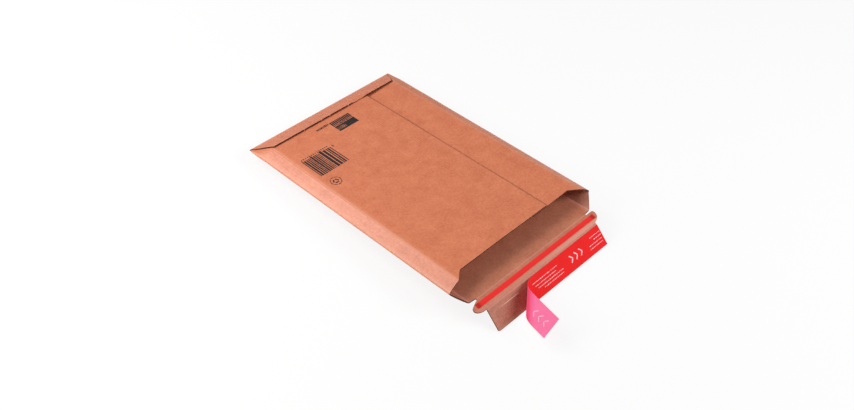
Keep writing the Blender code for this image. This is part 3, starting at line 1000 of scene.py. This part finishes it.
tape_red = film_paint("tape_red", (0.86, 0.020, 0.016), 0.42, (0.30, 0.008, 0.008), 0.45)
FILM_PAPER = 0.00012
TAPE_COLUMNS = 160
tape_x = np.linspace(-TAPE_HALF, TAPE_HALF, TAPE_COLUMNS)
tape_v = TAPE_NEAR + TAPE_WIDTH * np.array([0, 0.08, 0.3, 0.5, 0.7, 0.92, 1.0])
tape_lift = np.array([0.00016, 0.00009, 0.00004, 0.00003, 0.00004, 0.00009, 0.00016])
tape_points = np.array([[(x, -v, MID + lift) for x in tape_x] for v, lift in zip(tape_v, tape_lift)])
tape_points[..., 1] += 0.00015 * np.sin(tape_points[..., 0] * 31)
tape_points[..., 2] += 0.00003 * np.sin(tape_points[..., 0] * 240) * np.cos(tape_points[..., 0] * 57)
tape_uv = tape_points[..., :2]
# Both ends, over the band's ears, are coloured darker
TAPE_DARK_X = 0.1040
past_dark = np.abs(tape_points[..., 0]) - TAPE_DARK_X
tape_dark = 0.75 * np.exp(-(past_dark / 0.0022) ** 2) + 0.35 * smooth(past_dark / 0.003)
tape_shell = shell(
    tape_points, surface_normals(tape_points), 0.0, FILM_PAPER, tape_uv, tape_dark, (0, 0, 0))
tape = make_piece("tear_tape_film", [tape_shell], (tape_red,), band_place)
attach(tape, "band")
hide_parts("tear_tape")


# Adhesive strip
# A clear pressure-sensitive strip rolled on along the tongue. It is bare where the liner has
# been peeled, and shows there as a slight gloss on the board.
GLUE_NEAR = 0.0068
GLUE_WIDTH = 0.0190
GLUE_HALF = 0.0970
glue_clear = bpy.data.materials.new("clear_adhesive")
glue_clear.use_nodes = True
glue_tree = glue_clear.node_tree
glue_shader = glue_tree.nodes["Principled BSDF"]
glue_shader.inputs["Base Color"].default_value = (0.62, 0.16, 0.09, 1.0)
glue_shader.inputs["IOR"].default_value = 1.46
glue_place = glue_tree.nodes.new("ShaderNodeTexCoord")
glue_drift = noise(glue_tree, glue_place.outputs["Object"], 130.0, 2.0)
glue_rough = spread_range(glue_tree, glue_drift, 0.3, 0.7, 0.22, 0.42)
link(glue_tree, glue_rough, glue_shader.inputs["Roughness"])
glue_edge = glue_tree.nodes.new("ShaderNodeAttribute")
glue_edge.attribute_name = "crease"
glue_show = maths(glue_tree, "SUBTRACT", 1.0, glue_edge.outputs["Fac"], clamp=True)
glue_body = spread_range(glue_tree, glue_drift, 0.3, 0.7, 0.10, 0.24)
link(glue_tree, maths(glue_tree, "MULTIPLY", glue_body, glue_show), glue_shader.inputs["Alpha"])
GLUE_COLUMNS = 120
GLUE_FILM = 0.00009
glue_x = np.linspace(-GLUE_HALF, GLUE_HALF, GLUE_COLUMNS)
glue_across = np.array([0, 0.03, 0.10, 0.25, 0.5, 0.75, 0.90, 0.97, 1.0])
glue_v = GLUE_NEAR + GLUE_WIDTH * glue_across
glue_lift = np.array([0.00001, 0.00008, 0.0001, 0.0001, 0.0001, 0.0001, 0.0001, 0.00008, 0.00001])
glue_points = np.array([[(x, -v, MID + lift) for x in glue_x] for v, lift in zip(glue_v, glue_lift)])
glue_points[..., 2] += 0.00002 * np.sin(glue_points[..., 0] * 410 + glue_points[..., 1] * 300)
glue_fade = 1 - smooth(glue_across / 0.12) * smooth((1 - glue_across) / 0.12)
GLUE_END_FADE = 0.008
glue_end = smooth((np.abs(glue_points[..., 0]) - GLUE_HALF + GLUE_END_FADE) / GLUE_END_FADE)
glue_fade = np.maximum(glue_fade[:, None], glue_end)
# A thin bead stands along its near edge, where the strip was cut from the roll
BEAD_FROM = -0.0815
BEAD_TO = -0.0515
BEAD_AT = 0.0067
BEAD_WIDE = 0.00045
BEAD_TALL = 0.00028
BEAD_COLUMNS = 40
bead_x = np.linspace(BEAD_FROM, BEAD_TO, BEAD_COLUMNS)
bead_size = np.sqrt(np.clip(np.sin(np.linspace(0, math.pi, BEAD_COLUMNS)), 0.02, 1.0))
bead_points = np.array([
    np.stack((
        bead_x, -(BEAD_AT + off * BEAD_WIDE * bead_size),
        MID + 0.00005 + BEAD_TALL * bead_size * (1 - off * off)), -1)
    for off in (-1.0, -0.6, 0.0, 0.6, 1.0)])
# The bead is painted pale, as a painted highlight streak along the strip's edge.
bead_painted_highlight = film_paint("adhesive_bead_painted_highlight", (0.80, 0.46, 0.36), 0.30, (0.62, 0.20, 0.12), 0.5)
strip_shell = shell(
    glue_points, surface_normals(glue_points), 0.0, GLUE_FILM, glue_points[..., :2], glue_fade,
    (0, 0, 0))
bead_shell = shell(
    bead_points, surface_normals(bead_points), -0.00005, 0.00005, bead_points[..., :2], 0.0, (1, 1, 1))
glue = make_piece("adhesive_film", [strip_shell, bead_shell], (glue_clear, bead_painted_highlight), tongue_place)
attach(glue, "tongue")
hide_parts("adhesive_strip")


# Release liner
# A siliconed paper strip over the adhesive, red on its face and pink on its back. Its left half
# has been peeled and rolls back over the tongue, so that the tail shows its pink side.
PEEL_X = -0.0171
PEEL_ANGLE = math.radians(130.8)
PEEL_RADIUS = 0.0198
PEEL_TURN = math.radians(111.6)
LINER_END_X = -0.1100
LINER_NEAR = 0.0008
LINER_ROWS = 12
STUCK_COLUMNS = 70
TAIL_COLUMNS = 90
liner_lift = MID + 0.00035
peel_along = np.array([math.cos(PEEL_ANGLE), math.sin(PEEL_ANGLE)])
peel_away = np.array([-peel_along[1], peel_along[0]])


def rolled(x, w):
    """Where a point of the flat liner lies once its tail is rolled back from the peel line."""
    r = np.array([x - PEEL_X, w])
    a = r @ peel_along
    s = r @ peel_away
    if s <= 0:
        return (x, -w, liner_lift)
    if s <= PEEL_RADIUS * PEEL_TURN:
        flat = PEEL_RADIUS * math.sin(s / PEEL_RADIUS)
        lift = PEEL_RADIUS * (1 - math.cos(s / PEEL_RADIUS))
    else:
        rest = s - PEEL_RADIUS * PEEL_TURN
        flat = PEEL_RADIUS * math.sin(PEEL_TURN) + rest * math.cos(PEEL_TURN)
        lift = PEEL_RADIUS * (1 - math.cos(PEEL_TURN)) + rest * math.sin(PEEL_TURN)
    spot = np.array([PEEL_X, 0.0]) + a * peel_along + flat * peel_away
    return (spot[0], -spot[1], liner_lift + lift)


liner_red = film_paint("liner_red_face", (0.98, 0.014, 0.013), 0.60, (0.98, 0.014, 0.013), 0.10)
liner_pink = film_paint("liner_pink_back", (0.94, 0.145, 0.345), 0.50, (0.88, 0.050, 0.13), 0.40)
liner_rows = []
liner_flat = []
for k in range(LINER_ROWS):
    w = LINER_NEAR + (TONGUE_DEPTH - LINER_NEAR) * k / (LINER_ROWS - 1)
    peel = PEEL_X + w * peel_along[0] / peel_along[1]
    xs = list(np.linspace(TONGUE_HALF, peel, STUCK_COLUMNS))
    xs += list(np.linspace(peel, LINER_END_X, TAIL_COLUMNS))[1:]
    liner_rows.append([rolled(x, w) for x in xs])
    liner_flat.append([(x, -w) for x in xs])
liner_points = np.array(liner_rows)
liner_uv = np.array(liner_flat)
# Where the tail is bent most, its pink back is painted a deeper red: a painted glow of light through the
# rolled sheet
BEND_AT = 0.0260
BEND_WIDTH = 0.0065
liner_past = (liner_uv[..., 0] - PEEL_X) * peel_away[0] - liner_uv[..., 1] * peel_away[1]
liner_painted_glow = 0.80 * np.exp(-((liner_past - BEND_AT) / BEND_WIDTH) ** 2)
liner_shell = shell(
    liner_points, surface_normals(liner_points), -FILM_PAPER / 2, FILM_PAPER / 2, liner_uv, liner_painted_glow,
    (1, 0, 1))
liner = make_piece("release_liner_film", [liner_shell], (liner_red, liner_pink), tongue_place)
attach(liner, "tongue")
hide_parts("release_liner", "liner_tail")
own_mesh(liner)


# Printed marks
# The face is printed in black with a bar pattern, a solid block, a ring and small marks, all
# plain and generic. The liner carries white dashes and arrowheads. Ink is drawn as thin cells.
mark_tree, cells_in, cells_out = growth_tree(
    "printed_cells",
    [("Geometry", "NodeSocketGeometry"), ("Cuts", "NodeSocketInt"), ("Paint", "NodeSocketMaterial")])
cell = mark_tree.nodes.new("GeometryNodeMeshCube")
cell.inputs["Size"].default_value = (1, 1, 1)
link(mark_tree, cells_in.outputs["Cuts"], cell.inputs["Vertices X"])
link(mark_tree, cells_in.outputs["Cuts"], cell.inputs["Vertices Y"])
spread_cells = mark_tree.nodes.new("GeometryNodeInstanceOnPoints")
link(mark_tree, cells_in.outputs["Geometry"], spread_cells.inputs["Points"])
link(mark_tree, cell.outputs["Mesh"], spread_cells.inputs["Instance"])
link(mark_tree, stored(mark_tree, "size", "FLOAT_VECTOR"), spread_cells.inputs["Scale"])
link(mark_tree, stored(mark_tree, "turn", "FLOAT_VECTOR"), spread_cells.inputs["Rotation"])
finish_tree(mark_tree, cells_in, cells_out, spread_cells.outputs["Instances"])
INK = 0.00006


def printed(name, cells, cuts, paint, wrap, place):
    """Ink cells (x, y, width, length, turn), laid on a surface by wrap(x, y, height)."""
    mesh = bpy.data.meshes.new(name)
    mesh.from_pydata([(x, y, 0) for x, y, *_ in cells], [], [])
    size = mesh.attributes.new("size", "FLOAT_VECTOR", "POINT")
    size.data.foreach_set("vector", [v for *_, wide, long, _ in cells for v in (wide, long, INK)])
    turn = mesh.attributes.new("turn", "FLOAT_VECTOR", "POINT")
    turn.data.foreach_set("vector", [v for *_, angle in cells for v in (0.0, 0.0, angle)])
    obj = bpy.data.objects.new(name, mesh)
    bpy.context.scene.collection.objects.link(obj)
    grown(obj, mark_tree, {"Cuts": cuts, "Paint": paint})
    for v in obj.data.vertices:
        v.co = wrap(v.co.x, v.co.y, v.co.z)
    obj.data.transform(place)
    return obj


def ink_paint(name, fresh, rubbed, scale, detail, rubs, rough, grain=0.55):
    """Ink that lets the sheet show through where it is rubbed: rubs and rough are ranges."""
    paint = bpy.data.materials.new(name)
    paint.use_nodes = True
    tree = paint.node_tree
    shader = tree.nodes["Principled BSDF"]
    place = tree.nodes.new("ShaderNodeTexCoord")
    wear = noise(tree, place.outputs["Object"], scale, detail, grain)
    colour = mix_colour(tree, spread_range(tree, wear, *rubs), fresh, rubbed)
    link(tree, colour, shader.inputs["Base Color"])
    link(tree, spread_range(tree, wear, 0.3, 0.7, *rough), shader.inputs["Roughness"])
    return paint


ink_black = ink_paint(
    "black_ink", (0.012, 0.009, 0.010), (0.16, 0.055, 0.035), 1400.0, 3.0, (0.58, 0.70), (0.5, 0.7), 0.6)

# Bars, each by its start and width in millimetres, with a row of short strokes beyond them
BAR_LEFT = -0.0990
BAR_NEAR = 0.2555
BAR_FAR = 0.2915
BAR_PATTERN = (
    (0.0, 1.3), (2.2, 2.7), (5.9, 1.9), (8.7, 1.9), (11.4, 1.3), (13.6, 2.7), (17.1, 2.0), (20.0, 2.0),
    (23.0, 1.2), (25.3, 1.2), (27.8, 4.0), (33.2, 3.5), (38.3, 1.7), (41.0, 2.3), (45.0, 1.3))
SHORT_STROKES = 14
rng = np.random.default_rng(11)
cells = []
for k, (start, wide) in enumerate(BAR_PATTERN):
    long = BAR_FAR - BAR_NEAR + (0.0016 if k % 5 == 0 else 0.0)
    cells.append((BAR_LEFT + (start + wide / 2) / 1000, BAR_NEAR + long / 2, wide / 1000, long, 0.0))
for k in range(SHORT_STROKES):
    tall = 0.0018 + 0.0010 * rng.random()
    cells.append((BAR_LEFT + 0.0020 + k * 0.0032, BAR_FAR + 0.0030, 0.0013, tall, 0.25 * rng.random()))
cells.append((-0.0486, 0.2905, 0.0013, 0.0046, 0.15))
# The block: stripes along its far side, a row of dashes, and a solid part beside two bars with
# two rows of dashes between them. A last row of strokes stands to the left of the block.
BLOCK_LEFT = -0.0210
BLOCK_NEAR = 0.3058
STRIPES = 12
DASHES = 15
for k in range(STRIPES):
    cells.append((BLOCK_LEFT + 0.0011 + k * 0.00281, BLOCK_NEAR + 0.0183, 0.0022, 0.0078, 0.0))
for k in range(DASHES):
    wide = 0.0012 + 0.0009 * rng.random()
    cells.append((BLOCK_LEFT + 0.0010 + k * 0.0022, BLOCK_NEAR + 0.0128, wide, 0.0024, 0.0))
cells.append((0.0025, BLOCK_NEAR + 0.0055, 0.0190, 0.0110, 0.0))
cells.append((-0.0140, BLOCK_NEAR + 0.0014, 0.0140, 0.0028, 0.0))
cells.append((-0.0140, BLOCK_NEAR + 0.0095, 0.0140, 0.0030, 0.0))
for row in (0.0042, 0.0067):
    for k in range(6):
        wide = 0.0014 + 0.0009 * rng.random()
        cells.append((-0.0198 + k * 0.0023, BLOCK_NEAR + row, wide, 0.0021, 0.0))
for k in range(9):
    wide = 0.0014 + 0.0007 * rng.random()
    tall = 0.0028 + 0.0014 * rng.random()
    cells.append((-0.0420 + k * 0.0023, 0.3270, wide, tall, 0.0))
# The ring, broken in eight places, round three strokes
RING_X = -0.0922
RING_Y = 0.2373
RING_RADIUS = 0.0071
RING_CELLS = 40
STROKE_OUT = 0.0028
for k in range(RING_CELLS):
    if k % 10 in (3, 8):
        continue
    a = 2 * math.pi * k / RING_CELLS
    cells.append((
        RING_X + RING_RADIUS * math.cos(a), RING_Y + RING_RADIUS * math.sin(a), 0.0010,
        1.04 * 2 * math.pi * RING_RADIUS / RING_CELLS, a))
for k in range(3):
    a = 2 * math.pi * k / 3 + 0.5
    x = RING_X + STROKE_OUT * math.cos(a)
    y = RING_Y + STROKE_OUT * math.sin(a)
    cells.append((x, y, 0.0017, 0.0052, a))


INK_CLEAR = 0.00001


def on_face(x, y, z):
    return (x, y, TOP_Z + MID + INK_CLEAR + float(panel_wave(x, y)) + z)


print_black = printed("printed_marks", cells, 6, ink_black, on_face, lay_down)
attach(print_black, "pocket")

ink_white = ink_paint(
    "white_ink", (0.93, 0.72, 0.76), (0.93, 0.30, 0.30), 1100.0, 2.0, (0.45, 0.75), (0.4, 0.55))

# Lines of dashes on the liner's face, each by its start, its end and its depth
LINER_LINES = (
    (-0.0300, 0.0164, 0.0095), (-0.0270, 0.0111, 0.0136), (-0.0235, 0.0216, 0.0174),
    (-0.0150, 0.0214, 0.0212), (0.0790, 0.0992, 0.0086), (0.0845, 0.0992, 0.0128),
    (0.0734, 0.0985, 0.0170), (0.0726, 0.0967, 0.0209))
cells = []
for start, end, w in LINER_LINES:
    x = start
    while x < end:
        wide = min(0.0008 + 0.0022 * rng.random(), end - x)
        cells.append((x + wide / 2, -w, wide, 0.00055 + 0.00035 * rng.random(), 0.0))
        x += wide + 0.0005 + 0.0006 * rng.random()
ARROWHEADS = 3
ARROW_PITCH = 0.0090


def arrowheads(x, y):
    """Cells for a row of open arrowheads, each of two slanted strokes."""
    return [
        (x + k * ARROW_PITCH, y + side * 0.0022, 0.0014, 0.0062, side * 0.75)
        for k in range(ARROWHEADS) for side in (-1, 1)]


def over_film(x, y, z, side):
    """A point at height z over the face (side 1) or the back (side -1) of the rolled liner."""
    step = 0.0002
    here = np.array(rolled(x, -y))
    right = np.array(rolled(x + step, -y)) - here
    down = np.array(rolled(x, step - y)) - here
    normal = np.cross(down, right)
    normal /= np.linalg.norm(normal)
    return tuple(here + normal * (side * (FILM_PAPER / 2 + INK_CLEAR) + z))


def on_liner(x, y, z):
    return over_film(x, y, z, 1)


def on_tail(x, y, z):
    return over_film(x, y, z, -1)


cells += arrowheads(0.0400, -0.0145)
print_white = printed("liner_marks", cells, 3, ink_white, on_liner, tongue_place)
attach(print_white, "tongue")
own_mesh(print_white)

# The arrowheads show faintly through the tail's pink back
ink_faint = ink_paint(
    "faint_ink", (0.96, 0.46, 0.62), (0.95, 0.22, 0.42), 900.0, 2.0, (0.35, 0.75), (0.45, 0.6))
cells = arrowheads(-0.0990, -0.0150)
print_faint = printed("tail_marks", cells, 3, ink_faint, on_tail, tongue_place)
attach(print_faint, "tongue")
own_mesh(print_faint)
